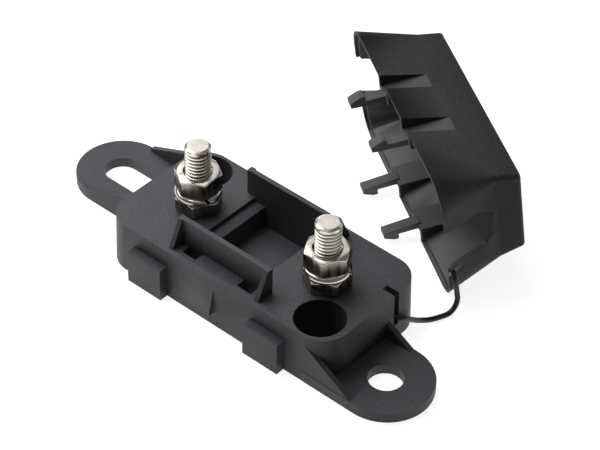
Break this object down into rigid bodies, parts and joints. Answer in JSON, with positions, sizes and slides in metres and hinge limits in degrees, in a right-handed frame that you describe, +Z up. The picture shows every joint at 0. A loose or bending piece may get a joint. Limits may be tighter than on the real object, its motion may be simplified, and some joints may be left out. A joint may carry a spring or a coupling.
{
  "type": "bolt-down fuse holder",
  "caption": "Moulded fuse holder with two threaded terminal studs, mounting ears and a snap cover lying open beside it on its tether strap.",
  "frame": {"origin": "centre of the base block's underside", "axes": "+X along the line of the two studs towards the ear with the round hole, +Y across the block towards the open cover, +Z up along the studs"},
  "size_m": [0.1501, 0.1221, 0.0427],
  "materials": {
    "base_plastic": "fine satin moulding",
    "cover_plastic": "fine grained moulding",
    "tether_plastic": "smooth",
    "nickel": "bright nickel plating"
  },
  "bodies": {
    "holder": {"base": "base_plastic", "stud_left": "nickel", "stud_right": "nickel", "lower_nut_left": "nickel", "lower_nut_right": "nickel", "tether_strap": "tether_plastic"},
    "left_washer": {"lock_washer_left": "nickel"},
    "left_nut": {"terminal_nut_left": "nickel"},
    "right_washer": {"lock_washer_right": "nickel"},
    "right_nut": {"terminal_nut_right": "nickel"},
    "open_cover": {"cover": "cover_plastic"}
  },
  "joints": [
    {"name": "washer_lift_left", "type": "slide", "parent": "holder", "child": "left_washer", "axis": [0, 0, 1], "range_m": [0, 0.00875]},
    {"name": "nut_turn_left", "type": "hinge", "parent": "left_washer", "child": "left_nut", "pos_m": [-0.0255, 0, 0.0275], "axis": [0, 0, 1], "range_deg": [0, 2520]},
    {"name": "washer_lift_right", "type": "slide", "parent": "holder", "child": "right_washer", "axis": [0, 0, 1], "range_m": [0, 0.00875]},
    {"name": "nut_turn_right", "type": "hinge", "parent": "right_washer", "child": "right_nut", "pos_m": [0.0255, 0, 0.0275], "axis": [0, 0, 1], "range_deg": [0, 2520]},
    {"name": "cover_swing", "type": "hinge", "parent": "holder", "child": "open_cover", "pos_m": [0.0457, 0.033, 0.0121], "axis": [0, 0, 1], "range_deg": [-35, 12]}
  ],
  "couplings": [
    {"joint": "washer_lift_left", "follows": "nut_turn_left", "m_per_rad": 0.00019894},
    {"joint": "washer_lift_right", "follows": "nut_turn_right", "m_per_rad": 0.00019894}
  ]
}
